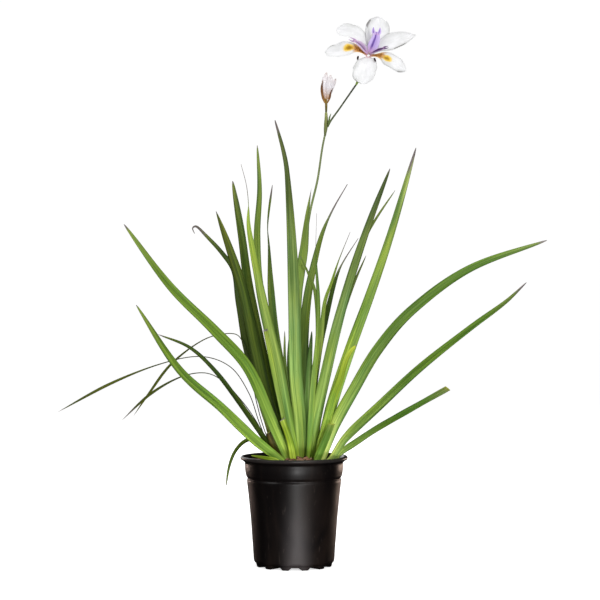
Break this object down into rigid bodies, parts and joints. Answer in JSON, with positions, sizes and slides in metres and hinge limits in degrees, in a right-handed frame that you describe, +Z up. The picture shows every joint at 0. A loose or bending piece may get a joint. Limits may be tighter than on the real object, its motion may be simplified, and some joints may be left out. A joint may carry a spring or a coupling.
{
  "type": "potted african iris",
  "caption": "Potted african iris: a clump of sword-shaped leaves with one white, yellow and violet flower and a spent bud, in a black nursery pot.",
  "frame": {"origin": "middle of the pot's underside, on the surface it stands on", "axes": "+Z up along the pot's axis, -Y towards the viewer, +X to the viewer's right"},
  "size_m": [0.767, 0.388, 0.8442],
  "materials": {
    "leaf_bright": "satin, fresh green, lengthwise veins",
    "leaf_mid": "satin, grey-green bloom, lengthwise veins",
    "leaf_pale": "satin, yellow-green, lengthwise veins",
    "leaf_dark": "satin, dark green, lengthwise veins",
    "leaf_olive": "satin, olive green, lengthwise veins",
    "leaf_lime": "satin, yellow-green young or cut leaf",
    "leaf_blue": "satin, bluish green with a pale sheen",
    "leaf_wiry": "matt, thin drying leaf, dark olive to grey",
    "sheath_dry": "matt, dry brown sheath",
    "pot_plastic": "near-black moulded plastic, satin, faintly dusty",
    "potting_mix": "rough bark and peat mix",
    "stem_green": "satin green stem",
    "bract_green": "satin green, papery edges",
    "tepal_outer": "soft white petal, yellow spot, speckled orange claw",
    "tepal_inner": "soft white petal",
    "style_violet": "soft violet, darker along the middle",
    "anther_dark": "matt dark purple",
    "husk_brown": "matt papery husk",
    "petal_faded": "matt crumpled petal, pinkish white"
  },
  "bodies": {
    "root": {"pot": "pot_plastic", "soil": "potting_mix", "leaf_01": "leaf_bright", "leaf_02": "leaf_bright", "leaf_03": "leaf_dark", "leaf_04": "leaf_dark", "leaf_05": "leaf_wiry", "leaf_06": "leaf_wiry", "leaf_07": "leaf_wiry", "leaf_08": "leaf_olive", "leaf_09": "leaf_dark", "leaf_10": "leaf_olive", "leaf_11": "leaf_dark", "leaf_12": "leaf_pale", "leaf_13": "leaf_pale", "leaf_14": "leaf_mid", "leaf_15": "leaf_dark", "leaf_16": "leaf_mid", "leaf_17": "leaf_lime", "leaf_18": "leaf_mid", "leaf_19": "leaf_dark", "leaf_20": "leaf_mid", "leaf_21": "leaf_dark", "leaf_22": "leaf_pale", "leaf_23": "leaf_mid", "leaf_24": "leaf_blue", "leaf_25": "leaf_mid", "leaf_26": "leaf_olive", "leaf_27": "leaf_dark", "leaf_28": "leaf_dark", "leaf_29": "leaf_pale", "leaf_30": "leaf_bright", "leaf_31": "leaf_lime", "leaf_32": "leaf_bright", "leaf_33": "leaf_bright", "leaf_34": "leaf_bright", "leaf_35": "leaf_bright", "leaf_36": "leaf_lime", "leaf_37": "leaf_olive", "dry_sheath": "sheath_dry", "flower_stem": "stem_green", "flower_stalk": "stem_green", "bud_stalk": "stem_green", "ovary_and_tube": "stem_green", "spathe": "bract_green", "small_bract": "bract_green", "outer_tepal_left": "tepal_outer", "outer_tepal_right": "tepal_outer", "outer_tepal_top": "tepal_outer", "inner_tepal_front": "tepal_inner", "inner_tepal_left": "tepal_inner", "inner_tepal_right": "tepal_inner", "style_arm_left": "style_violet", "style_arm_right": "style_violet", "style_arm_top": "style_violet", "anther_left": "anther_dark", "anther_right": "anther_dark", "bud_valve_left": "husk_brown", "bud_valve_right": "husk_brown", "bud_petals": "petal_faded"}
  },
  "joints": []
}
